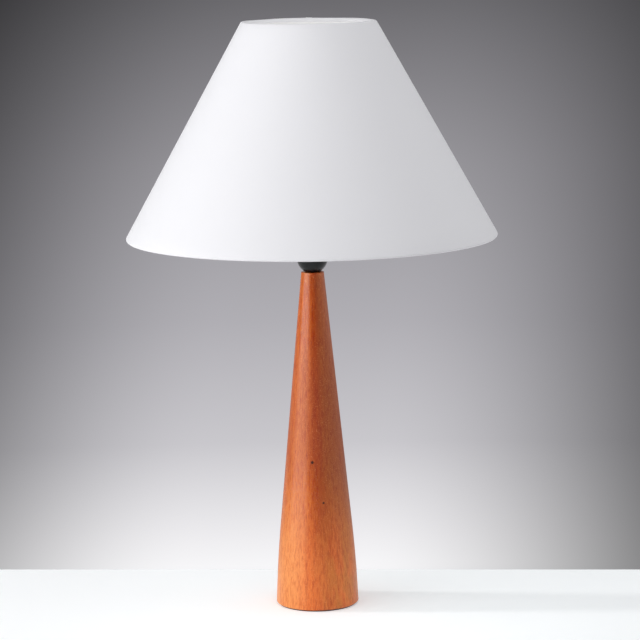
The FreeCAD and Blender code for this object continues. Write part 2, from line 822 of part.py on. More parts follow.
# Housing: crimped into the cap, then a plain neck, a blend and a straight flare that
# meets the globe where both have the same slope
FLARE_SINE = "sin(bulb_flare_angle * 1 deg)"
FLARE_COSINE = "cos(bulb_flare_angle * 1 deg)"
BLEND_RADIUS = "(bulb_blend / tan(bulb_flare_angle * 0.5 deg))"
MEET_RADIUS = f"(bulb_radius * {FLARE_COSINE})"
MEET_HEIGHT = f"({GLOBE_CENTRE} - bulb_radius * {FLARE_SINE})"
NECK_CORNER = (
    f"({MEET_HEIGHT} - ({MEET_RADIUS} - bulb_neck_radius) * {FLARE_COSINE} / {FLARE_SINE})"
)
turned_piece(
    "bulb_housing",
    [
        ("0", HOUSING_FOOT),
        (f"{CAP_INSIDE} - crimp_clearance", HOUSING_FOOT),
        (f"{CAP_INSIDE} - crimp_clearance", CAP_TOP),
        ("bulb_neck_radius", CAP_TOP),
        ("bulb_neck_radius", f"{NECK_CORNER} - bulb_blend"),
        (
            f"bulb_neck_radius + bulb_blend * {FLARE_SINE}",
            f"{NECK_CORNER} + bulb_blend * {FLARE_COSINE}",
        ),
        (MEET_RADIUS, MEET_HEIGHT),
        ("0", MEET_HEIGHT),
    ],
    {4: (BLEND_RADIUS, "right")},
)

# Globe: an open-footed sphere that stands on the housing's edge
INNER_RADIUS = "(bulb_radius - globe_wall)"
FOOT_BORE = f"sqrt({INNER_RADIUS}^2 - (bulb_radius * {FLARE_SINE})^2)"
turned_piece(
    "bulb_globe",
    [
        (FOOT_BORE, MEET_HEIGHT),
        (MEET_RADIUS, MEET_HEIGHT),
        ("bulb_radius", GLOBE_CENTRE),
        ("0", f"{GLOBE_CENTRE} + bulb_radius"),
        ("0", f"{GLOBE_CENTRE} + {INNER_RADIUS}"),
        (INNER_RADIUS, GLOBE_CENTRE),
    ],
    {
        1: ("bulb_radius", "left"),
        2: ("bulb_radius", "left"),
        4: (INNER_RADIUS, "right"),
        5: (INNER_RADIUS, "right"),
    },
)

# Light plate on the housing, inside the globe's foot, with its chips in a circle
PLATE_TOP = f"({MEET_HEIGHT} + plate_thickness)"
turned_piece(
    "light_plate",
    [
        ("0", MEET_HEIGHT),
        (f"{FOOT_BORE} - plate_clearance", MEET_HEIGHT),
        (f"{FOOT_BORE} - plate_clearance", PLATE_TOP),
        ("0", PLATE_TOP),
    ],
)


def light_chip(number):
    """A square chip on the plate, with one side facing the middle."""
    angle = number * 360 / CHIP_COUNT
    along = f"(chip_circle - chip_width / 2) * {{way}}({angle} deg)"
    chip = doc.addObject("Part::Box", f"Chip{number}")
    bind(chip, "Length", "chip_width")
    bind(chip, "Width", "chip_width")
    bind(chip, "Height", "chip_height")
    turn = FreeCAD.Rotation(FreeCAD.Vector(0, 0, 1), angle)
    chip.Placement = FreeCAD.Placement(FreeCAD.Vector(), turn)
    across = f"chip_width / 2 * {{way}}({angle} deg)"
    bind(chip, ".Placement.Base.x", f"{along.format(way='cos')} + {across.format(way='sin')}")
    bind(chip, ".Placement.Base.y", f"{along.format(way='sin')} - {across.format(way='cos')}")
    bind(chip, ".Placement.Base.z", PLATE_TOP)
    return chip


group("light_chips", [light_chip(number) for number in range(CHIP_COUNT)])

doc.recompute()

# Nothing is written unless every object is sound
for item in doc.Objects:
    if "Invalid" in item.State or "Error" in item.State:
        raise ValueError(f"{item.Label}: {item.State}")
for node in nodes:
    if node.Shape.isNull() or not node.Shape.isValid() or not node.Shape.Solids:
        raise ValueError(f"{node.Label}: its shape isn't sound")

os.makedirs("parts", exist_ok=True)
for node in nodes:
    node.Shape.exportStep(os.path.join("parts", node.Label + ".step"))
    box = node.Shape.BoundBox
    print(f"{node.Label}: {len(node.Shape.Solids)} solid, {node.Shape.Volume:.0f} mm3,"
          f" z {box.ZMin:.2f} to {box.ZMax:.2f}, reach {box.XMax:.2f} {box.YMax:.2f}")
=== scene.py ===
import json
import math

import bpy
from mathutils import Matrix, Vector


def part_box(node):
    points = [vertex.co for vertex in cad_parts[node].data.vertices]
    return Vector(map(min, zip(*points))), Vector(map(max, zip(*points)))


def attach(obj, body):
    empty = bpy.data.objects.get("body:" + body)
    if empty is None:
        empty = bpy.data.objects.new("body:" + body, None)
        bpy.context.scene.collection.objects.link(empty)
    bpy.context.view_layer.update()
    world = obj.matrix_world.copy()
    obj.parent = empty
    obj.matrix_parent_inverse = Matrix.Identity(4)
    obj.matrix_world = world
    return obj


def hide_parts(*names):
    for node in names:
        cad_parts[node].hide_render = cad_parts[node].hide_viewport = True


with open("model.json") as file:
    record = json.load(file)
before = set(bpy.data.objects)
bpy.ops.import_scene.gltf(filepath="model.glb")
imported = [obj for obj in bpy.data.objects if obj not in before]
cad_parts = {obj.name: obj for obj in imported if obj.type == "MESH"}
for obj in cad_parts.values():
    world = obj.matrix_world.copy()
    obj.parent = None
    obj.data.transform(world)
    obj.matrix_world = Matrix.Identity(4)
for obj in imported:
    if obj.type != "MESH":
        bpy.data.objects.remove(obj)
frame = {"nodes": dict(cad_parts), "record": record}

# %% [markdown]
# # A column table lamp
# The lamp has a turned teak column on a felt foot, a black lampholder on a threaded
# tube, and a wide white shade on three wire arms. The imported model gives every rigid
# piece in its place. This lesson adds the cloth, the felt and the screw threads as
# modelled pieces, gives every surface a finish made of nodes, and sets up the light
# and the camera.

MM = 0.001
bpy.context.view_layer.update()

# %% [markdown]
# Operators in Blender act on whatever is selected. After loading, all the frame's
# pieces are selected, so everything is deselected first. In edit mode it is the same
# with points, edges and faces. A test picks them here by their place or their normal,
# where a person would click on them.

# %% Helpers for selecting and finishing a piece
def deselect_all():
    if bpy.context.mode != "OBJECT":
        bpy.ops.object.mode_set(mode="OBJECT")
    bpy.ops.object.select_all(action="DESELECT")


def make_active(piece):
    deselect_all()
    piece.select_set(True)
    bpy.context.view_layer.objects.active = piece


def select_where(piece, kind, test):
    """In edit mode, select only the vertices, edges or faces for which the test holds."""
    make_active(piece)
    bpy.ops.object.mode_set(mode="EDIT")
    bpy.ops.mesh.select_mode(type=kind)
    bpy.ops.mesh.select_all(action="DESELECT")
    bpy.ops.object.mode_set(mode="OBJECT")
    mesh = piece.data
    for part in {"VERT": mesh.vertices, "EDGE": mesh.edges, "FACE": mesh.polygons}[kind]:
        part.select = test(part)
    bpy.ops.object.mode_set(mode="EDIT")


def apply_modifier(piece, kind, **settings):
    """Add a modifier, set it up and apply it at once."""
    make_active(piece)
    modifier = piece.modifiers.new(kind.title(), kind)
    for name, value in settings.items():
        setattr(modifier, name, value)
    bpy.ops.object.modifier_apply(modifier=modifier.name)


def apply_place(piece):
    """Move the object's place, turn and scale into its mesh."""
    make_active(piece)
    bpy.ops.object.transform_apply(location=True, rotation=True, scale=True)


def smooth(piece, crease):
    """Shade a piece smooth, apart from edges that turn by more than crease degrees."""
    make_active(piece)
    bpy.ops.object.shade_smooth_by_angle(angle=math.radians(crease))


deselect_all()
print("selected now:", len(bpy.context.selected_objects))

# %% [markdown]
# ## Sizes that the new pieces need
# Nothing is measured by eye here. The shade's wires are round rods in the frame, so
# each wire's box gives its radius, and the middle of its section. The cover's box
# gives how far outside the wire the cloth lies. LEAN and RISE are the sine and the
# cosine of the angle between the shade's side and the upright.

# %% Sizes read from the frame
def wire_of(node):
    """The radius of a wire ring's rod, and the radius and height of its middle."""
    low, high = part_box(node)
    rod = (high.z - low.z) / 2
    return rod, high.x - rod, (high.z + low.z) / 2


WIRE, RIM_RADIUS, RIM_HEIGHT = wire_of("bottom_ring")
CROWN_RADIUS, CROWN_HEIGHT = wire_of("top_ring")[1:]
CLOTH_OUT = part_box("shade_cover")[1].z - CROWN_HEIGHT
SLANT = math.hypot(RIM_RADIUS - CROWN_RADIUS, CROWN_HEIGHT - RIM_HEIGHT)
LEAN = (RIM_RADIUS - CROWN_RADIUS) / SLANT
RISE = (CROWN_HEIGHT - RIM_HEIGHT) / SLANT
print(f"wire {WIRE * 2000:.2f} mm thick, side {SLANT * 1000:.1f} mm from wire to wire")
print(f"the cloth's outside is {CLOTH_OUT * 1000:.2f} mm from the wire's middle")

# %% [markdown]
# ## The cloth of the shade
# A coned shade is cut as one flat piece, a sector of a ring. It is closed by a lap at
# the back and glued to a stiff lining, and its edges are rolled round the wires. It
# could be turned as a profile about the axis. Here it starts as a cone without ends,
# because then the rolled edges are made as a maker makes them: by taking the edge and
# turning it round the wire, a little at a time.

# %% A cone from wire to wire
CONE_SIDES = 240
CONE_RINGS = 15
UPRIGHT = 1 * MM


def beside_wire(radius, height, up_slope, outward):
    """A point near a wire: up_slope along the shade's side, outward square to it."""
    return (
        radius - up_slope * LEAN + outward * RISE,
        height + up_slope * RISE + outward * LEAN,
    )


def add_rings(piece, count):
    """Divide a wall's upright edges, and so put rings of points up its height."""

    def rises(edge):
        first, last = (piece.data.vertices[index].co.z for index in edge.vertices)
        return abs(first - last) > UPRIGHT

    select_where(piece, "EDGE", rises)
    bpy.ops.mesh.subdivide(number_cuts=count)
    bpy.ops.object.mode_set(mode="OBJECT")


foot = beside_wire(RIM_RADIUS, RIM_HEIGHT, 0, CLOTH_OUT)
head = beside_wire(CROWN_RADIUS, CROWN_HEIGHT, 0, CLOTH_OUT)
deselect_all()
bpy.ops.mesh.primitive_cone_add(
    vertices=CONE_SIDES,
    radius1=foot[0],
    radius2=head[0],
    depth=head[1] - foot[1],
    end_fill_type="NOTHING",
    location=(0, 0, (head[1] + foot[1]) / 2),
)
cover = bpy.context.object
cover.name = "shade_cloth"
apply_place(cover)
add_rings(cover, CONE_RINGS)
print("cone faces:", len(cover.data.polygons))

# %% [markdown]
# The rolled edge is a run of short extrusions. The ring of edges at the cone's end is
# selected by its height, extruded, and then scaled and lifted to the next point round
# the wire. Three quarters of a turn tuck the cloth behind the wire.

# %% Rolling the edges round the wires
ROLL_STEPS = 9
ROLL_TURN = math.radians(270)
# Two places that are nearer than this are one and the same.
TOUCH = 0.01 * MM


def carry_ring(radius, height, to_radius, to_height):
    """Extrude the selected ring, and bring it to its next radius and height."""
    bpy.ops.mesh.extrude_edges_move()
    share = to_radius / radius
    bpy.ops.transform.resize(value=(share, share, 1), center_override=(0, 0, height))
    bpy.ops.transform.translate(value=(0, 0, to_height - height))


def roll_edge(piece, radius, height, way):
    """Roll the open edge beside a wire round it. way is -1 at the rim and 1 at the crown."""
    place = beside_wire(radius, height, 0, CLOTH_OUT)
    select_where(piece, "VERT", lambda vertex: abs(vertex.co.z - place[1]) < TOUCH)
    for step in range(1, ROLL_STEPS + 1):
        angle = ROLL_TURN * step / ROLL_STEPS
        following = beside_wire(
            radius, height, way * CLOTH_OUT * math.sin(angle), CLOTH_OUT * math.cos(angle)
        )
        carry_ring(*place, *following)
        place = following
    bpy.ops.object.mode_set(mode="OBJECT")


roll_edge(cover, RIM_RADIUS, RIM_HEIGHT, -1)
roll_edge(cover, CROWN_RADIUS, CROWN_HEIGHT, 1)
print("cloth faces with both edges rolled:", len(cover.data.polygons))

# %% [markdown]
# A hand-rolled edge isn't perfectly even. Along the crown the cloth stands a little
# higher on one stretch than on the next, with a soft step between. Proportional
# editing moves a few points and lets their neighbours follow. Each dip has its place in
# degrees from the front, and its depth in millimetres.

# %% The crown's uneven edge
CROWN_DIPS = ((-50, 0.5), (-20, 0.35), (100, 0.4), (160, 0.3), (-130, 0.45))
DIP_REACH = 30 * MM


def dip_edge(piece, turn, depth):
    """Press the crown's edge down at an angle from the front, fading out over the reach."""
    x = CROWN_RADIUS * math.sin(turn)
    y = -CROWN_RADIUS * math.cos(turn)

    def near(vertex):
        across = math.hypot(vertex.co.x - x, vertex.co.y - y)
        return vertex.co.z > CROWN_HEIGHT + CLOTH_OUT / 2 and across < DIP_REACH / 4

    select_where(piece, "VERT", near)
    bpy.ops.transform.translate(
        value=(0, 0, -depth),
        use_proportional_edit=True,
        proportional_edit_falloff="SMOOTH",
        proportional_size=DIP_REACH,
    )
    bpy.ops.object.mode_set(mode="OBJECT")


for degrees, depth in CROWN_DIPS:
    dip_edge(cover, math.radians(degrees), depth * MM)
print("crown edge now up to", round(max(v.co.z for v in cover.data.vertices), 5))

# %% [markdown]
# The weave has to follow the cloth as it was cut. So each corner of the mesh gets the
# place that it had on the flat sector, in metres. A cone unrolls about its tip: the
# distance from the tip stays, and angles about the axis shrink by LEAN.

# %% The flat pattern as a UV map
FLAT_MAP = "flat"
TIP_DISTANCE = RIM_RADIUS / LEAN
SECTOR_ANGLE = 2 * math.pi * LEAN


def flat_place(point):
    """Where a point of the cone lay on the flat cloth, with the lap at its two ends."""
    along = TIP_DISTANCE - (point.z - RIM_HEIGHT) / RISE
    angle = math.atan2(point.x, -point.y) * LEAN
    return along * math.sin(angle), along * math.cos(angle)


for unused in list(cover.data.uv_layers):
    cover.data.uv_layers.remove(unused)
pattern = cover.data.uv_layers.new(name=FLAT_MAP)
for loop in cover.data.loops:
    pattern.data[loop.index].uv = flat_place(cover.data.vertices[loop.vertex_index].co)
print(f"the flat sector opens {math.degrees(SECTOR_ANGLE):.0f} degrees")

# %% [markdown]
# At the back the two ends of the cloth lap over each other by 8 mm. The lap is a copy
# of the cone, cut to a strip by three planes, so that it follows the rolled edges too.

# %% The lap at the back
LAP = 8 * MM
LAP_THICKNESS = 0.35 * MM
LAP_ROUND = 0.12 * MM


def strip_of(piece, name, width):
    """A copy of the piece's back, cut to a strip of that width."""
    make_active(piece)
    bpy.ops.object.duplicate()
    strip = bpy.context.object
    strip.name = name
    bpy.ops.object.mode_set(mode="EDIT")
    for place, normal in (
        ((width / 2, 0, 0), (1, 0, 0)),
        ((-width / 2, 0, 0), (-1, 0, 0)),
        ((0, 0, 0), (0, -1, 0)),
    ):
        bpy.ops.mesh.select_all(action="SELECT")
        bpy.ops.mesh.bisect(plane_co=place, plane_no=normal, clear_outer=True)
    bpy.ops.object.mode_set(mode="OBJECT")
    return strip


lap = strip_of(cover, "shade_lap", LAP)
apply_modifier(lap, "SOLIDIFY", thickness=LAP_THICKNESS, offset=1)
apply_modifier(lap, "BEVEL", width=LAP_ROUND, segments=2, limit_method="ANGLE")
print("lap faces:", len(lap.data.polygons))

# %% [markdown]
# The cloth gets its thickness, inwards from its outer side. Where an arm reaches the
# bottom wire, the tucked cloth is snipped. Three rods along the arms, joined to one
# object, cut the slits.

# %% The cloth's thickness, and slits for the arms
CLOTH_THICKNESS = 0.5 * MM
ARM_ANGLES = (90, 210, 330)
SNIP_SIDES = 24
SLIT_ROOM = 0.4 * MM
arm_low, arm_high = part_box("spider_arms")
arm_radius = (arm_high.z - arm_low.z) / 2
slit_radius = RIM_RADIUS - CLOTH_OUT

apply_modifier(cover, "SOLIDIFY", thickness=CLOTH_THICKNESS, offset=-1)
snips = []
for degrees in ARM_ANGLES:
    turn = math.radians(degrees)
    deselect_all()
    bpy.ops.mesh.primitive_cylinder_add(
        vertices=SNIP_SIDES,
        radius=arm_radius + SLIT_ROOM,
        depth=2 * CLOTH_OUT,
        location=(slit_radius * math.cos(turn), slit_radius * math.sin(turn), RIM_HEIGHT),
        rotation=(0, math.pi / 2, turn),
    )
    snips.append(bpy.context.object)
for snip in snips:
    snip.select_set(True)
bpy.ops.object.join()
rods = bpy.context.object
apply_modifier(cover, "BOOLEAN", operation="DIFFERENCE", object=rods, solver="EXACT")
bpy.data.objects.remove(rods)
smooth(cover, crease=40)
smooth(lap, crease=40)
print("cloth faces in all:", len(cover.data.polygons))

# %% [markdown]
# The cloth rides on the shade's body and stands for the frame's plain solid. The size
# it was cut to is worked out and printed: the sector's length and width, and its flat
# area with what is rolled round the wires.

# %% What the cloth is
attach(cover, "shade")
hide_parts("shade_cover")
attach(lap, "shade")

roll_length = CLOTH_OUT * ROLL_TURN
outer_edge = TIP_DISTANCE + roll_length
inner_edge = TIP_DISTANCE - SLANT - roll_length
flat_area = SECTOR_ANGLE / 2 * (outer_edge**2 - inner_edge**2)
flat_width = 2 * outer_edge
flat_length = outer_edge * (1 - math.cos(SECTOR_ANGLE / 2))
print(f"flat sheet {flat_width:.3f} by {flat_length:.3f} m, {flat_area:.3f} m2")

# %% [markdown]
# ## The felt under the foot
# A disc of felt is glued under the foot, so that the lamp doesn't scratch the table.
# Felt has a soft, slightly crushed edge. The disc could stay a cylinder, but its rim
# would look cut from card, so its ends are inset and its rim is rounded.

# %% A felt disc
FELT_SIDES = 144
FELT_MARGIN = 0.15 * MM
FELT_INSETS = (4 * MM, 12 * MM, 14 * MM)
FELT_ROUND = 0.5 * MM
LEVEL = 0.9
felt_low, felt_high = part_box("felt_pad")
felt_radius = felt_high.x
felt_thickness = felt_high.z - felt_low.z

deselect_all()
bpy.ops.mesh.primitive_cylinder_add(
    vertices=FELT_SIDES,
    radius=felt_radius - FELT_MARGIN,
    depth=felt_thickness,
    end_fill_type="NGON",
    location=(0, 0, felt_thickness / 2),
)
felt = bpy.context.object
felt.name = "felt_disc"
apply_place(felt)
select_where(felt, "FACE", lambda face: abs(face.normal.z) > LEVEL)
for width in FELT_INSETS:
    bpy.ops.mesh.inset(thickness=width, depth=0)
apply_modifier(felt, "BEVEL", width=FELT_ROUND, segments=3, limit_method="ANGLE")
smooth(felt, crease=60)
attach(felt, "base")
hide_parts("felt_pad")
print("felt disc faces:", len(felt.data.polygons))

# %% [markdown]
# ## Screw threads
# In the frame the bulb's cap and the top of the skirt are plain, as wide as the crests
# of their threads. Here they get the threads themselves, cut inwards, so nothing grows.
# A Screw modifier could wind a thread, but it leaves a step at each end. So a wall with
# many rings is made, and each of its points moves inwards by a wave that climbs one
# pitch in every turn and fades out at both ends.

# %% A wall with a thread
THREAD_SIDES = 128
RINGS_PER_TURN = 12
THREAD_FADE = 1.2 * MM


def threaded_wall(name, radius, low, high, pitch, depth, plain):
    """An upright wall with a right-hand thread between two plain ends.

    plain holds the length of the plain end at the foot, and of the one at the top.
    """
    deselect_all()
    bpy.ops.mesh.primitive_cylinder_add(
        vertices=THREAD_SIDES,
        radius=radius,
        depth=high - low,
        end_fill_type="NOTHING",
        location=(0, 0, (low + high) / 2),
    )
    wall = bpy.context.object
    wall.name = name
    apply_place(wall)
    add_rings(wall, round((high - low) / pitch * RINGS_PER_TURN))
    for vertex in wall.data.vertices:
        x, y, z = vertex.co
        climbed = z / pitch - math.atan2(y, x) / (2 * math.pi)
        wave = (1 - math.cos(2 * math.pi * climbed)) / 2
        inside = min(z - low - plain[0], high - plain[1] - z)
        share = 1 - depth * wave * min(max(inside / THREAD_FADE, 0), 1) / radius
        vertex.co = (x * share, y * share, z)
    return wall


print("rings of points in each turn of a thread:", RINGS_PER_TURN)

# %% [markdown]
# The bulb's cap is rolled from thin sheet metal, so the wall with its thread only needs
# a thickness. The thread has seven turns to the inch, as on every bulb of this size.

# %% The bulb's cap
INCH = 25.4 * MM
CAP_PITCH = INCH / 7
CAP_DEPTH = 0.85 * MM
CAP_PLAIN = (1.6 * MM, 3.4 * MM)
CAP_GAUGE = 0.3 * MM
cap_low, cap_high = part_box("bulb_cap")

bulb_cap = threaded_wall(
    "threaded_cap", cap_high.x, cap_low.z, cap_high.z, CAP_PITCH, CAP_DEPTH, CAP_PLAIN
)
apply_modifier(bulb_cap, "SOLIDIFY", thickness=CAP_GAUGE, offset=-1)
print("cap faces:", len(bulb_cap.data.polygons))

# %% [markdown]
# The thread dips into the room of the housing's stem, which was plain too. So the
# housing becomes a copy of the frame's, with its stem scaled in towards the axis. A
# frame piece is made of loose triangles, so the copy is merged first.

# %% Room for the cap in the housing
STEM_ROOM = 0.1 * MM


def copy_of(node, name):
    """A merged copy of a frame piece, with its own mesh."""
    copy = bpy.data.objects.new(name, frame["nodes"][node].data.copy())
    bpy.context.scene.collection.objects.link(copy)
    make_active(copy)
    bpy.ops.mesh.customdata_custom_splitnormals_clear()
    bpy.ops.object.mode_set(mode="EDIT")
    bpy.ops.mesh.select_all(action="SELECT")
    bpy.ops.mesh.remove_doubles(threshold=TOUCH / 10)
    bpy.ops.object.mode_set(mode="OBJECT")
    return copy


def from_axis(vertex):
    return math.hypot(vertex.co.x, vertex.co.y)


def in_stem(vertex):
    return from_axis(vertex) < cap_high.x and vertex.co.z < cap_high.z + TOUCH


housing = copy_of("bulb_housing", "stemmed_housing")
stem_radius = max(from_axis(vertex) for vertex in housing.data.vertices if in_stem(vertex))
stem_share = (cap_high.x - CAP_DEPTH - CAP_GAUGE - STEM_ROOM) / stem_radius
select_where(housing, "VERT", in_stem)
bpy.ops.transform.resize(value=(stem_share, stem_share, 1), center_override=(0, 0, cap_low.z))
bpy.ops.object.mode_set(mode="OBJECT")
print(f"housing points: {len(housing.data.vertices)}, stem scaled by {stem_share:.3f}")

# %% [markdown]
# The skirt's thread carries the shade ring. The skirt is a copy of the frame's, cut off
# inside the fitter's thickness, where nothing shows. On the cut stands a threaded tube.
# Its wall is carried on over a small chamfer, down the bore and back to its foot.

# %% A threaded tube for the skirt
SKIRT_PITCH = 2.5 * MM
SKIRT_DEPTH = 1.0 * MM
SKIRT_PLAIN = (0, 0.4 * MM)
CHAMFER = 0.6 * MM
CUT_BELOW_RING = 1 * MM
skirt_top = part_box("holder_skirt")[1].z
thread_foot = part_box("shade_ring")[0].z - CUT_BELOW_RING
top_radii = [
    from_axis(vertex)
    for vertex in frame["nodes"]["holder_skirt"].data.vertices
    if vertex.co.z > skirt_top - TOUCH
]
skirt_bore, skirt_radius = min(top_radii), max(top_radii)

tube = threaded_wall(
    "skirt_tube",
    skirt_radius,
    thread_foot,
    skirt_top - CHAMFER,
    SKIRT_PITCH,
    SKIRT_DEPTH,
    SKIRT_PLAIN,
)
select_where(tube, "VERT", lambda vertex: vertex.co.z > skirt_top - CHAMFER - TOUCH)
route = [
    (skirt_radius, skirt_top - CHAMFER),
    (skirt_radius - CHAMFER, skirt_top),
    (skirt_bore, skirt_top),
    (skirt_bore, thread_foot),
    (skirt_radius, thread_foot),
]
for place, following in zip(route, route[1:]):
    carry_ring(*place, *following)
bpy.ops.mesh.select_all(action="SELECT")
bpy.ops.mesh.remove_doubles(threshold=TOUCH)
bpy.ops.mesh.normals_make_consistent(inside=False)
bpy.ops.object.mode_set(mode="OBJECT")
print(f"skirt bore {skirt_bore * 1000:.2f} mm, thread {skirt_radius * 1000:.2f} mm in radius")

# %% [markdown]
# The lower part of the skirt is cut off level and closed, and the tube is joined to it.
# A boolean union would do the same, but here both parts are closed and meet flat.

# %% The skirt with its tube
skirt = copy_of("holder_skirt", "threaded_skirt")
bpy.ops.object.mode_set(mode="EDIT")
bpy.ops.mesh.bisect(
    plane_co=(0, 0, thread_foot),
    plane_no=(0, 0, 1),
    clear_outer=True,
    use_fill=True,
    threshold=TOUCH,
)
bpy.ops.object.mode_set(mode="OBJECT")
tube.select_set(True)
bpy.ops.object.join()
print("skirt faces:", len(skirt.data.polygons))

# %% [markdown]
# Each threaded piece rides on the body of the plain piece that it stands for.

# %% Where the threaded pieces belong
for piece, body, node, slot in (
    (bulb_cap, "bulb", "bulb_cap", "cap_metal"),
    (housing, "bulb", "bulb_housing", "white_plastic"),
    (skirt, "base", "holder_skirt", "bakelite"),
):
    smooth(piece, crease=35)
    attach(piece, body)
    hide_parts(node)
print("threaded pieces ride on their bodies")

# %% [markdown]
# ## Finishes from nodes
# A finish is a small graph of shader nodes. Written out one by one the links are hard
# to follow, so a socket is wrapped in a class that knows the usual operators. Then
# shader maths reads like ordinary Python: `1 - mask` adds the Math node by itself.
# Every other node comes from one method, which takes the node's type, its settings
# and its inputs.

# %% A socket that Python's operators work on
class Signal:
    """One output of a node. An expression on signals adds its Math nodes."""

    def __init__(self, graph, socket):
        self.graph = graph
        self.socket = socket

    def __add__(self, other):
        return self.graph.maths("ADD", self, other)

    def __radd__(self, other):
        return self.graph.maths("ADD", other, self)

    def __sub__(self, other):
        return self.graph.maths("SUBTRACT", self, other)

    def __rsub__(self, other):
        return self.graph.maths("SUBTRACT", other, self)

    def __mul__(self, other):
        return self.graph.maths("MULTIPLY", self, other)

    def __rmul__(self, other):
        return self.graph.maths("MULTIPLY", other, self)

    def __truediv__(self, other):
        return self.graph.maths("DIVIDE", self, other)

    def __pow__(self, other):
        return self.graph.maths("POWER", self, other)

    def __abs__(self):
        return self.graph.maths("ABSOLUTE", self)

    def sine(self):
        return self.graph.maths("SINE", self)

    def or_more(self, other):
        """The larger of two signals."""
        return self.graph.maths("MAXIMUM", self, other)

    def between(self, low, high):
        """0 below low, 1 above high, and a soft slope between."""
        settings = {"interpolation_type": "SMOOTHSTEP"}
        inputs = {"Value": self, "From Min": low, "From Max": high}
        return self.graph.node("ShaderNodeMapRange", settings, inputs)


print("operators of a signal: + - * / ** and abs")

# %% [markdown]
# The graph holds the one method that adds nodes. Beside it stand short names for what is
# used often: maths on numbers and on vectors, one part of a vector, a ramp of colours,
# and a mix of two colours.

# %% A graph that nodes are added to
class Graph:
    """A tree of shader nodes, with one method that adds any node to it."""

    def __init__(self, tree):
        self.tree = tree

    def node(self, kind, settings=None, inputs=(), output=0):
        """Add a node, set it up, and return one of its outputs as a signal."""
        made = self.tree.nodes.new(kind)
        settings = dict(settings or {})
        stops = settings.pop("stops", ())
        for name, value in settings.items():
            setattr(made, name, value)
        for index, (position, colour) in enumerate(stops):
            elements = made.color_ramp.elements
            stop = elements[index] if index < len(elements) else elements.new(position)
            stop.position = position
            stop.color = (*colour, 1)
        pairs = inputs.items() if isinstance(inputs, dict) else enumerate(inputs)
        for key, value in pairs:
            self.feed(made.inputs[key], value)
        return Signal(self, made.outputs[output])

    def feed(self, socket, value):
        """Link a signal to a socket, or set a plain value on it."""
        if isinstance(value, Signal):
            self.tree.links.new(value.socket, socket)
        else:
            socket.default_value = value

    def maths(self, operation, *inputs):
        return self.node("ShaderNodeMath", {"operation": operation}, inputs)

    def vector_maths(self, operation, *inputs, output=0):
        return self.node("ShaderNodeVectorMath", {"operation": operation}, inputs, output)

    def split(self, vector, axis):
        """One part of a vector, X, Y or Z, as a number."""
        return self.node("ShaderNodeSeparateXYZ", inputs={"Vector": vector}, output=axis)

    def ramp(self, factor, stops):
        return self.node("ShaderNodeValToRGB", {"stops": stops}, {"Fac": factor})

    def blend(self, factor, first, second, way="MIX"):
        """Mix two colours by a factor. A colour is a signal, or red, green and blue."""
        settings = {"data_type": "RGBA", "blend_type": way}
        first, second = (
            colour if isinstance(colour, Signal) else (*colour, 1) for colour in (first, second)
        )
        return self.node("ShaderNodeMix", settings, {0: factor, 6: first, 7: second}, output=2)


print("a graph makes every node by one method")

# %% [markdown]
# A finish is the graph of one material with one principled shader. Its patterns read
# object coordinates. A piece's object sits at the origin, so these are real metres in
# the lamp's own frame, and a pattern stays on its piece when the piece moves.

# %% A finish with one principled shader
class Finish(Graph):
    """A material. What is even all over it is set on the shader's own sockets."""

    def __init__(self, name, **even):
        self.material = bpy.data.materials.new(name)
        self.material.use_nodes = True
        super().__init__(self.material.node_tree)
        self.shader = self.tree.nodes["Principled BSDF"]
        self.place = self.node("ShaderNodeTexCoord", output="Object")
        for socket, value in even.items():
            self.set(socket.replace("_", " "), value)

    def set(self, name, value):
        self.feed(self.shader.inputs[name], value)

    def noise(self, scale, detail=2.0, roughness=0.5, on=None):
        """Noise over the piece, or on other coordinates, scaled along each axis."""
        stretched = self.node(
            "ShaderNodeMapping", inputs={"Vector": on or self.place, "Scale": scale}
        )
        inputs = {"Vector": stretched, "Scale": 1.0, "Detail": detail, "Roughness": roughness}
        return self.node("ShaderNodeTexNoise", inputs=inputs)

    def facing(self, way):
        """How far a point lies towards one side of the upright axis, from -1 to 1."""
        level = self.vector_maths("MULTIPLY", self.place, (1, 1, 0))
        side = self.vector_maths("NORMALIZE", level)
        return self.vector_maths("DOT_PRODUCT", side, way, output="Value")

    def bump(self, height, strength, distance):
        inputs = {"Height": height, "Strength": strength, "Distance": distance}
        self.set("Normal", self.node("ShaderNodeBump", inputs=inputs))


print("finish builder ready")

# %% [markdown]
# ### Teak
# The column is turned from one block of teak and oiled to a satin gloss. It is cut so
# that the growth rings show only as soft lines down its length. A Wave texture could
# draw rings, but they would be too even. What the eye reads as wood here is a few
# noises, all stretched along the height: broad bands of tone, narrow streaks and fine
# threads. Their sum picks the colour from a ramp. The upper ramp is darker, as painted
# shade where the shade's shadow falls on the column, and the foot has a paler ramp of
# its own, as painted light where more light falls low down.

# %% The grain of the column
BAND_SCALE = (34, 34, 2.0)
STREAK_SCALE = (170, 170, 5.0)
THREAD_SCALE = (700, 700, 26)
# Painted shade and light: the upper ramp is darker, where the shade's shadow falls on the column,
# and the foot's ramp is paler, where more light falls low down.
TEAK_UPPER_SHADOWED = [
    (0.28, (0.46, 0.078, 0.008)),
    (0.46, (0.62, 0.125, 0.013)),
    (0.66, (0.74, 0.185, 0.022)),
]
TEAK_FOOT_LIT = [
    (0.28, (0.76, 0.140, 0.016)),
    (0.46, (0.92, 0.210, 0.028)),
    (0.66, (0.97, 0.290, 0.050)),
]
LIT_FOOT_FADE = (0.05, 0.23)

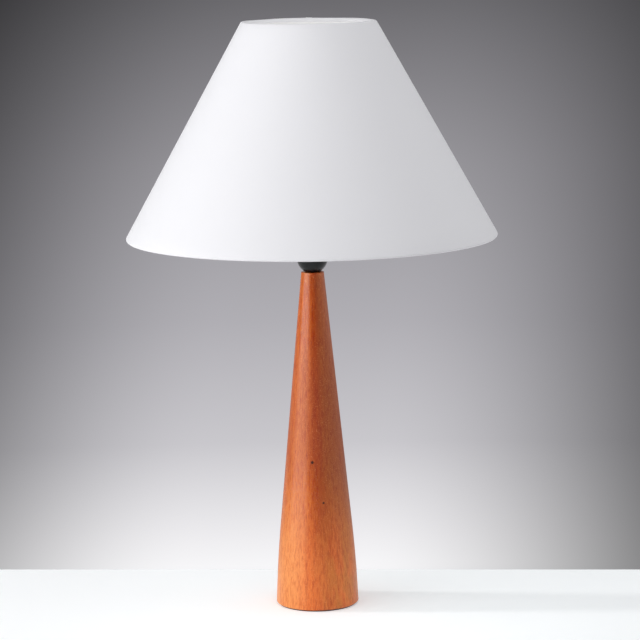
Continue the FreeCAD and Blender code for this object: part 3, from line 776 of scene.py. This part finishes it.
teak = Finish("oiled_teak")
height = teak.split(teak.place, "Z")
bands = teak.noise(BAND_SCALE, detail=3)
streaks = teak.noise(STREAK_SCALE, detail=4, roughness=0.6)
threads = teak.noise(THREAD_SCALE, detail=3, roughness=0.65)
tone = bands * 0.5 + streaks * 0.45 + threads * 0.45 - 0.225
# Painted light: the foot's paler ramp fades in below this height.
lit_foot = 1 - (height + bands * 0.05).between(*LIT_FOOT_FADE)
wood = teak.blend(lit_foot, teak.ramp(tone, TEAK_UPPER_SHADOWED), teak.ramp(tone, TEAK_FOOT_LIT))
print("teak nodes for the grain:", len(teak.tree.nodes))

# %% [markdown]
# The colour isn't even over the column. A darker red stripe runs up the front, as
# painted shade where nothing bright stands in front of the wood. A belt above the foot
# is a little darker too, as painted shade where the highlight fades, and the right
# side, away from the stronger light, is painted browner as shade. A painted sheen makes
# the left side paler, where the strong light falls, most of all at the foot. A cloud of
# ochre lies low on the right. A side of the column is found by how far a point faces
# that way, which has no seam, and the stripe by its angle from the front. Each range
# below is where a zone begins and where it is full.

# %% Zones of the column, with painted shade and sheen
# Painted shade: a dark red for the stripe and the belt, and brown for the side away from the
# stronger light. Painted sheen: a pale tone for the lit left side.
PAINTED_SHADE_RED = (0.34, 0.036, 0.003)
PAINTED_SHADE_BROWN = (0.28, 0.062, 0.007)
PAINTED_SHEEN = (0.97, 0.40, 0.105)
OCHRE = (0.60, 0.215, 0.028)
STRIPE_ANGLE = math.radians(6)
STRIPE_HALF_WIDTH = math.radians(17)
STRIPE_WAVER = 0.3
BELT_BEGINS = (0.16, 0.22)
BELT_ENDS = (0.28, 0.38)
BROWN_SIDE = (1, 0, 0)
BROWN_FADE = (0.0, 0.45)
SHEEN_SIDE = (-0.85, -0.53, 0)
SHEEN_FADE = (0.60, 1.0)
OCHRE_SIDE = (0.80, -0.60, 0)
OCHRE_FADE = (0.55, 0.95)
CLOUD_SCALE = (45, 45, 16)

# The stripe, the belt and the brown right side are painted shade; the pale left side is a painted
# sheen.
angle = teak.maths("ARCTAN2", teak.split(teak.place, "X"), teak.split(teak.place, "Y") * -1)
off_stripe = abs(angle - STRIPE_ANGLE + (bands - 0.5) * STRIPE_WAVER)
stripe = 1 - off_stripe.between(0.3 * STRIPE_HALF_WIDTH, 1.4 * STRIPE_HALF_WIDTH)
wood = teak.blend(stripe * (0.35 + streaks * 0.7) * (1 - lit_foot * 0.7), wood, PAINTED_SHADE_RED)
brown = teak.facing(BROWN_SIDE).between(*BROWN_FADE) * (1 - lit_foot * 0.9)
wood = teak.blend(brown * (0.35 + bands * 0.55), wood, PAINTED_SHADE_BROWN)
belt = height.between(*BELT_BEGINS) * (1 - height.between(*BELT_ENDS))
wood = teak.blend(belt * 0.14, wood, PAINTED_SHADE_RED)
left_sheen = teak.facing(SHEEN_SIDE).between(*SHEEN_FADE)
wood = teak.blend(left_sheen * (0.08 + lit_foot * 0.57), wood, PAINTED_SHEEN)
cloud = teak.noise(CLOUD_SCALE, detail=3).between(0.42, 0.60)
ochre = teak.facing(OCHRE_SIDE).between(*OCHRE_FADE) * cloud
wood = teak.blend(ochre * lit_foot * 0.55, wood, OCHRE)
print("teak nodes with its zones:", len(teak.tree.nodes))

# %% [markdown]
# Close up, teak has short dark flecks, pale specks and long pores. Two tiny knots and a
# few scuffs near the top finish it. A knot is found by its angle from the front and its
# height, and the angle is turned to a length at the column's radius there.

# %% Flecks, pores, scuffs and knots
FLECK_SCALE = (430, 430, 62)
SPECK_SCALE = (1000, 1000, 620)
PORE_SCALE = (1300, 1300, 150)
SCUFF_SCALE = (260, 260, 210)
FLECK_SHADE = (0.84, 0.60, 0.40)
SPECK_PALE = (0.96, 0.48, 0.20)
PORE_SHADE = (0.74, 0.46, 0.32)
SCUFF_PALE = (0.80, 0.36, 0.15)
SCUFF_HEIGHTS = (0.405, 0.428)
KNOT_BROWN = (0.028, 0.003, 0.002)
# Each knot has its angle from the front, its height and its size.
PIN_KNOTS = ((-0.103, 0.192, 1.3 * MM), (0.228, 0.140, 0.9 * MM))
KNOT_RADIUS = 40 * MM

flecks = teak.noise(FLECK_SCALE, detail=3, roughness=0.6).between(0.46, 0.66)
wood = teak.blend(flecks, wood, FLECK_SHADE, way="MULTIPLY")
specks = teak.noise(SPECK_SCALE, detail=1)
wood = teak.blend(specks.between(0.58, 0.72) * 0.22, wood, SPECK_PALE)
pores = teak.noise(PORE_SCALE, detail=2).between(0.52, 0.68)
wood = teak.blend(pores * 0.6, wood, PORE_SHADE, way="MULTIPLY")
rubs = teak.noise(SCUFF_SCALE, detail=3, roughness=0.6).between(0.60, 0.70)
wood = teak.blend(rubs * height.between(*SCUFF_HEIGHTS) * 0.6, wood, SCUFF_PALE)
for knot_angle, knot_height, size in PIN_KNOTS:
    across = (angle - knot_angle) * KNOT_RADIUS
    away = (across**2 + (height - knot_height) ** 2) ** 0.5
    wood = teak.blend(1 - away.between(0.9 * size, 2.0 * size), wood, KNOT_BROWN)
print("pin knots:", len(PIN_KNOTS))

# %% [markdown]
# The oil has soaked in unevenly, so the gloss changes with the grain and is duller in
# the belt, on the brown side and at the foot. The pores are slightly sunk.

# %% The column's gloss
SATIN = 0.20
GRAIN_RELIEF = 0.06 * MM
teak.set("Base Color", wood)
matte = belt * 0.14 + brown * 0.16 + lit_foot * 0.08
teak.set("Roughness", SATIN + threads * 0.08 + pores * 0.1 + matte)
teak.bump(threads * 0.4 + specks * 0.3 - pores * 0.5, 0.3, GRAIN_RELIEF)
FINISHES = {"teak": teak.material}
print("teak nodes in all:", len(teak.tree.nodes))

# %% [markdown]
# ### White cloth
# The shade's cloth is a close plain weave on a stiff lining, so from a step away it is
# smooth, with only a faint unevenness of its threads. The threads run on the flat
# pattern's coordinates. The bump is far smaller than a thread's thickness.

# %% A finish for the cloth
THREADS_PER_METRE = 1700
CLOTH_WHITE = (0.840, 0.837, 0.859)
CLOTH_SHADED = tuple(part * 0.955 for part in CLOTH_WHITE)
WEFT_SLUBS = (90, 1600, 1)
WARP_SLUBS = (1600, 90, 1)
PATCH_SCALE = (7, 7, 7)
WEAVE_RELIEF = 0.05 * MM

cloth = Finish("shade_cloth", Roughness=0.85, Sheen_Weight=0.12, Specular_IOR_Level=0.25)
flat = cloth.node("ShaderNodeUVMap", {"uv_map": FLAT_MAP})
phase = THREADS_PER_METRE * math.pi
weave = (cloth.split(flat, "X") * phase).sine() * (cloth.split(flat, "Y") * phase).sine()
slubs = cloth.noise(WEFT_SLUBS, detail=1, on=flat) + cloth.noise(WARP_SLUBS, detail=1, on=flat)
patches = cloth.noise(PATCH_SCALE, detail=2)
cloth.set("Base Color", cloth.blend(slubs * 0.25 + patches * 0.4, CLOTH_WHITE, CLOTH_SHADED))
cloth.bump(weave * 0.5 + slubs, 0.25, WEAVE_RELIEF)
FINISHES["shade_fabric"] = cloth.material
print("cloth threads in a centimetre:", THREADS_PER_METRE // 100)

# %% [markdown]
# ### Bakelite and the other moulded pieces
# Bakelite is almost black and has a soft gloss from years of handling, with a very
# fine mottling of its filler. The other plastics, the porcelain, the cast iron and the
# lining are the same kind of finish with other values, so one function makes them all.

# %% Moulded finishes
MOTTLE_SCALE = (260, 260, 260)
SMEAR_SCALE = (38, 38, 24)


def moulded(name, colour, mottle, roughness, relief, coat=0.0, gloss=0.5):
    """A moulded surface: two close colours in fine patches, and a faint relief."""
    finish = Finish(name, Coat_Weight=coat, Coat_Roughness=0.12, Specular_IOR_Level=gloss)
    patches = finish.noise(MOTTLE_SCALE, detail=3)
    smears = finish.noise(SMEAR_SCALE, detail=4, roughness=0.6)
    finish.set("Base Color", finish.blend(patches, colour, mottle))
    finish.set("Roughness", roughness - 0.06 + smears * 0.14)
    finish.bump(smears + patches * 0.4, 0.2, relief)
    return finish.material


MOULDED = {
    "iron": moulded("cast_iron", (0.035, 0.035, 0.038), (0.06, 0.05, 0.045), 0.65, 0.4 * MM),
    "bush_plastic": moulded("bush_black", (0.012,) * 3, (0.02,) * 3, 0.42, 0.05 * MM),
    "bakelite": moulded("bakelite_black", (0.006, 0.0065, 0.007), (0.012, 0.0125, 0.013),
                        0.32, 0.06 * MM, coat=0.06, gloss=0.2),
    "porcelain": moulded("glazed_porcelain", (0.78, 0.76, 0.70), (0.72, 0.70, 0.64), 0.22,
                         0.04 * MM, coat=0.5),
    "lining": moulded("lining_sheet", (0.94, 0.938, 0.935), (0.91, 0.908, 0.903), 0.5,
                      0.05 * MM),
    "black_glass": moulded("vitrite", (0.006, 0.006, 0.008), (0.012, 0.012, 0.014), 0.12,
                           0.05 * MM),
    "white_plastic": moulded("bulb_white", (0.84,) * 3, (0.80,) * 3, 0.35, 0.04 * MM),
    "chip_resin": moulded("chip_yellow", (0.72, 0.48, 0.06), (0.66, 0.42, 0.05), 0.4,
                          0.03 * MM),
}
FINISHES.update(MOULDED)
print("moulded finishes:", len(MOULDED))

# %% [markdown]
# ### Metals and painted wire
# A drawn or spun metal has fine lines along the way it was worked, and duller patches
# where it has tarnished. A clean mirror would look like plastic, so the lines go into
# the roughness and the bump. The shade's wires are the same, under white lacquer.

# %% Metal finishes
DRAWN = (900, 900, 40)
SPUN = (300, 300, 900)
TARNISH_SCALE = (70, 70, 70)
LINE_RELIEF = 0.03 * MM


def brushed(name, colour, tarnish, roughness, lines, painted=False):
    """A metal surface with drawing lines and patches of tarnish, or paint over metal."""
    finish = Finish(name, Metallic=0.0 if painted else 1.0)
    scratches = finish.noise(lines, detail=3, roughness=0.6)
    patches = finish.noise(TARNISH_SCALE, detail=4).between(0.4, 0.7)
    finish.set("Base Color", finish.blend(patches, colour, tarnish))
    finish.set("Roughness", roughness - 0.05 + scratches * 0.16)
    finish.bump(scratches, 0.15, LINE_RELIEF)
    return finish.material


METALS = {
    "steel": brushed("zinc_steel", (0.55, 0.55, 0.53), (0.42, 0.41, 0.38), 0.32, SPUN),
    "brass": brushed("lacquered_brass", (0.78, 0.52, 0.20), (0.58, 0.36, 0.13), 0.28, SPUN),
    "white_wire": brushed("white_lacquered_wire", (0.80, 0.80, 0.79), (0.76, 0.76, 0.75),
                          0.38, DRAWN, painted=True),
    "solder": brushed("solder_tip", (0.50, 0.51, 0.52), (0.36, 0.36, 0.37), 0.42, SPUN),
    "cap_metal": brushed("nickel_cap", (0.62, 0.61, 0.58), (0.52, 0.51, 0.48), 0.30, SPUN),
    "plate_metal": brushed("light_plate", (0.72, 0.72, 0.73), (0.64, 0.64, 0.65), 0.5, SPUN),
}
FINISHES.update(METALS)
print("metal finishes:", len(METALS))

# %% [markdown]
# ### Felt
# Felt is matted fibre. Real fibres would be far too many to model, so noise at two
# scales gives the nap, and a sheen gives the paler fuzz on top.

# %% A finish for the felt
FELT_DARK = (0.006, 0.007, 0.007)
FELT_PALE = (0.03, 0.032, 0.032)
FIBRE_SCALE = (1400, 1400, 900)
CLUMP_SCALE = (160, 160, 160)
NAP_RELIEF = 0.25 * MM

nap = Finish("green_black_felt", Roughness=1.0, Sheen_Weight=0.4)
fibres = nap.noise(FIBRE_SCALE, detail=3, roughness=0.7)
clumps = nap.noise(CLUMP_SCALE, detail=3)
nap.set("Base Color", nap.blend(fibres * 0.6 + clumps * 0.4, FELT_DARK, FELT_PALE))
nap.bump(fibres + clumps, 0.6, NAP_RELIEF)
FINISHES["felt"] = nap.material
print("felt nodes:", len(nap.tree.nodes))

# %% [markdown]
# ### Opal plastic
# The bulb's globe is white all through, so light spreads a little under its skin. A
# glass shader would show the inside, and plain white would look painted. A little
# subsurface scattering is right between the two.

# %% A finish for the globe
OPAL_SHADED = (0.88, 0.88, 0.87)
OPAL_PALE = (0.93, 0.93, 0.92)
FLOW_SCALE = (30, 30, 18)

opal = Finish("opal_globe", Subsurface_Weight=0.25, Subsurface_Scale=0.004)
flow = opal.noise(FLOW_SCALE, detail=2)
opal.set("Base Color", opal.blend(flow, OPAL_SHADED, OPAL_PALE))
opal.set("Roughness", 0.3 + flow * 0.08)
FINISHES["opal_plastic"] = opal.material
print("finishes in all:", len(FINISHES))

# %% [markdown]
# Each piece of the frame takes the finish of its slot in the record, and each new piece
# that of the slot it was given above.

# %% Every piece gets its finish
def give_finish(piece, slot):
    piece.data.materials.clear()
    piece.data.materials.append(FINISHES[slot])


for part in frame["record"]["subparts"]:
    give_finish(frame["nodes"][part["node"]], part["material_slot"])
for piece, slot in (
    (cover, "shade_fabric"),
    (lap, "shade_fabric"),
    (felt, "felt"),
    (bulb_cap, "cap_metal"),
    (housing, "white_plastic"),
    (skirt, "bakelite"),
):
    give_finish(piece, slot)

# %% [markdown]
# ## Floor, light and camera
# The lamp stands on a plain white floor that ends in a line close behind the foot. The
# backdrop past it is the world itself: a plain grey, near white low down and darker
# towards the horizon and the sides, so that the white shade stands out against it.
# Past its line, and far out in front, the floor lets the rays that show a backdrop
# through to the world. For the light it is one whole white floor.

# %% The floor
FLOOR_RADIUS = 60.0
FLOOR_SIDES = 96
deselect_all()
bpy.ops.mesh.primitive_circle_add(vertices=FLOOR_SIDES, radius=FLOOR_RADIUS, fill_type="NGON")
floor = bpy.context.object
floor.name = "floor"
print("floor radius", FLOOR_RADIUS)

# %% [markdown]
# The paint is white. The rays that show a backdrop see it a little brighter still, less
# so towards the two sides, where less light falls. Its white ends between the two
# distances of WHITE_EDGE behind the axis, and fades out between those of FAR_OUT.

# %% Paint for the floor
FLOOR_WHITE = (0.88, 0.885, 0.89)
FLOOR_LIFT = (0.275, 0.305, 0.31)
DIM_RIGHT = 0.30
DIM_RIGHT_FADE = (0.02, 0.50)
DIM_LEFT = 0.5
DIM_LEFT_FADE = (0.05, 0.45)
WHITE_EDGE = (0.1645, 0.1675)
WHITE_EDGE_TURN = math.radians(3.4)
FAR_OUT = (1.2, 2.4)


def seen_rays(graph):
    """1 for the rays that show a backdrop: camera, glossy and transmission rays."""
    camera_ray, glossy_ray, through_ray = (
        graph.node("ShaderNodeLightPath", output=f"Is {kind} Ray")
        for kind in ("Camera", "Glossy", "Transmission")
    )
    return camera_ray.or_more(glossy_ray.or_more(through_ray))


paint = Finish("pale_floor", Roughness=0.8, Specular_IOR_Level=0.1, Emission_Strength=1.0)
paint.set("Base Color", (*FLOOR_WHITE, 1))
seen = seen_rays(paint)
across = paint.split(paint.place, "X")
dim_left = (across * -1).between(*DIM_LEFT_FADE) * DIM_LEFT
lift = paint.blend(across.between(*DIM_RIGHT_FADE) * DIM_RIGHT + dim_left, FLOOR_LIFT, (0, 0, 0))
paint.set("Emission Color", paint.blend(seen, (0, 0, 0), lift))
turned = paint.node(
    "ShaderNodeMapping", inputs={"Vector": paint.place, "Rotation": (0, 0, WHITE_EDGE_TURN)}
)
past_edge = paint.split(turned, "Y").between(*WHITE_EDGE)
far_out = paint.vector_maths("LENGTH", paint.place, output="Value").between(*FAR_OUT)
painted_side = Signal(paint, paint.shader.outputs[0])
clear_side = paint.node("ShaderNodeBsdfTransparent")
open_part = past_edge.or_more(far_out) * seen
mixed = paint.node("ShaderNodeMixShader", inputs=(open_part, painted_side, clear_side))
paint.feed(paint.tree.nodes["Material Output"].inputs["Surface"], mixed)
floor.data.materials.append(paint.material)
print("the floor's white ends", WHITE_EDGE[0], "m behind the axis")

# %% [markdown]
# Two broad panels light the lamp from the sides, the left one stronger. On the wood
# they show as two pale bands with a deep stripe between, where nothing bright stands
# in front. A third panel overhead lights the shade and the floor, while the shade
# keeps it off the upper column. The world adds an even fill.

# %% The light panels
AIM = Vector((0, 0, 0.42))
PANEL_LIFT = 0.02


def panel(name, azimuth, distance, width, height, power):
    """An upright panel at an azimuth from the front, that faces the lamp's axis."""
    data = bpy.data.lights.new(name, "AREA")
    data.shape = "RECTANGLE"
    data.size = width
    data.size_y = height
    data.energy = power
    lamp = bpy.data.objects.new(name, data)
    bpy.context.scene.collection.objects.link(lamp)
    turn = math.radians(azimuth)
    lamp.location = (distance * math.sin(turn), -distance * math.cos(turn), height / 2 + PANEL_LIFT)
    aim = AIM - lamp.location
    aim.z = 0
    lamp.rotation_euler = aim.to_track_quat("-Z", "Y").to_euler()
    return lamp


def hang(lamp, height, target):
    """Bring a lamp to a height and tilt it towards a place."""
    lamp.location.z = height
    lamp.rotation_euler = (target - lamp.location).to_track_quat("-Z", "Y").to_euler()


panel("panel_left", azimuth=-62, distance=2.0, width=2.2, height=1.2, power=25)
panel("panel_right", azimuth=98, distance=2.2, width=4.0, height=2.0, power=13.0)
overhead = panel("panel_overhead", azimuth=0, distance=1.0, width=1.6, height=1.6, power=14.5)
hang(overhead, height=2.3, target=AIM)
print("panels: left, right and overhead")

# %% [markdown]
# A small lamp far out on the left draws the column's long, faint shadow over the floor.
# On the column itself it would spoil the even light of the panels. Light linking lets
# it light the floor alone, while the whole lamp still casts its shadow.

# %% A small lamp for the shadow
def light_only(lamp, pieces):
    """Let a lamp light these pieces and no others."""
    receivers = bpy.data.collections.new(lamp.name + "_receivers")
    for piece in pieces:
        receivers.objects.link(piece)
    lamp.light_linking.receiver_collection = receivers


shadow_lamp = panel("shadow_lamp", azimuth=-94, distance=4.0, width=0.3, height=0.3, power=55)
hang(shadow_lamp, height=2.16, target=Vector((0, 0, 0)))
light_only(shadow_lamp, [floor])
print("the shadow lamp lights the floor alone")

# %% [markdown]
# White cloth lets some of the room's light through, so a real shade is bright inside too,
# and its back doesn't show as a grey sickle over the crown. Light that passes through
# two thin solids is slow to render. A faint round lamp inside, which lights only the
# shade's own pieces, stands for it. The bulb itself is off.

# %% Light that comes through the cloth
GLOW_POWER = 0.14
GLOW_RADIUS = 0.03
GLOW_HEIGHT = 0.61
glow_data = bpy.data.lights.new("through_cloth", "POINT")
glow_data.energy = GLOW_POWER
glow_data.shadow_soft_size = GLOW_RADIUS
glow = bpy.data.objects.new("through_cloth", glow_data)
bpy.context.scene.collection.objects.link(glow)
glow.location = (0, 0, GLOW_HEIGHT)
light_only(glow, [cover, lap, frame["nodes"]["shade_lining"], frame["nodes"]["top_ring"]])

# %% [markdown]
# The world does two things. For diffuse rays it is an even fill light. For the rays
# that show a backdrop it is a grey that depends on the direction alone: how steeply
# the ray points down, in degrees, and how far it turns to the side. Reflections see a
# darker room in front of the lamp, as if black cloth hung there, which keeps the wood's
# middle deep. Where a ray points down at the floor, nothing is darkened.

# %% The greys of the backdrop
STEEPEST = 15
GREYS_BY_SLOPE = [
    (1.9, (0.138, 0.135, 0.145)),
    (5.6, (0.31, 0.302, 0.324)),
    (9.0, (0.435, 0.425, 0.455)),
    (11.6, (0.585, 0.575, 0.605)),
    (13.7, (0.87, 0.86, 0.88)),
    (14.2, (0.93, 0.925, 0.94)),
]
# The next values are parts of a ray's direction, sideways or away from the front.
LIGHTEST = 0.015
LIGHTEST_DRIFT = 0.0025
AHEAD_FADE = (0.0, 0.5)
SIDE_DARK = 0.86
SIDE_FADE = (0.030, 0.172)
SIDE_RETURN = (0.13, 0.45)
FRONT_FADE = (-0.5, 0.2)
FRONT_DARK = 0.1
MIRRORED_DARK = 0.7
# These two are degrees below the horizon.
FLOOR_SLOPES = (15.0, 26.0)


def backdrop(graph):
    """A grey for each direction, lightest low down and straight behind the lamp."""
    way = graph.node("ShaderNodeTexCoord", output="Generated")
    down = graph.maths("ARCSINE", graph.split(way, "Z") * -1) * math.degrees(1)
    stops = [(slope / STEEPEST, grey) for slope, grey in GREYS_BY_SLOPE]
    grey = graph.ramp(down / STEEPEST, stops)
    spread = abs(graph.split(way, "X") - (LIGHTEST - down * LIGHTEST_DRIFT))
    ahead = graph.split(way, "Y").between(*AHEAD_FADE)
    side = spread.between(*SIDE_FADE) * (1 - spread.between(*SIDE_RETURN)) * ahead * SIDE_DARK
    mirrored = graph.node("ShaderNodeLightPath", output="Is Glossy Ray")
    front = 1 - graph.split(way, "Y").between(*FRONT_FADE)
    dark = side.or_more(front * (FRONT_DARK + mirrored * MIRRORED_DARK))
    return graph.blend(dark * (1 - down.between(*FLOOR_SLOPES)), grey, (0, 0, 0))


print("greys from the horizon down:", len(GREYS_BY_SLOPE))

# %% [markdown]
# Only the rays that show a backdrop get these greys. All others get the fill. The view
# transform is Standard, so that a colour renders as it is written.

# %% The world
WORLD_FILL = (0.36, 0.36, 0.37)
world = bpy.data.worlds.new("studio")
world.use_nodes = True
studio = Graph(world.node_tree)
shown = studio.blend(seen_rays(studio), WORLD_FILL, backdrop(studio))
studio.feed(world.node_tree.nodes["Background"].inputs["Color"], shown)
bpy.context.scene.world = world
bpy.context.scene.view_settings.view_transform = "Standard"
print("world nodes:", len(world.node_tree.nodes))

# %% [markdown]
# The camera is a long lens some way off, a little above the shade's top and tilted
# down. Its distance and lens follow from how much the foot's and the rim's circles are
# flattened in the view. It stands a touch to the right and is rolled by under a degree.

# %% The camera
LENS = 150.3
CAMERA_PLACE = (16.7 * MM, -3.368, 0.903)
TILT_DOWN = math.radians(9.0)
ROLL = math.radians(0.87)
deselect_all()
bpy.ops.object.camera_add(location=CAMERA_PLACE)
camera = bpy.context.object
camera.data.lens = LENS
camera.rotation_euler = (math.pi / 2 - TILT_DOWN, ROLL, 0)
bpy.context.scene.camera = camera
print("camera", LENS, "mm at", CAMERA_PLACE)
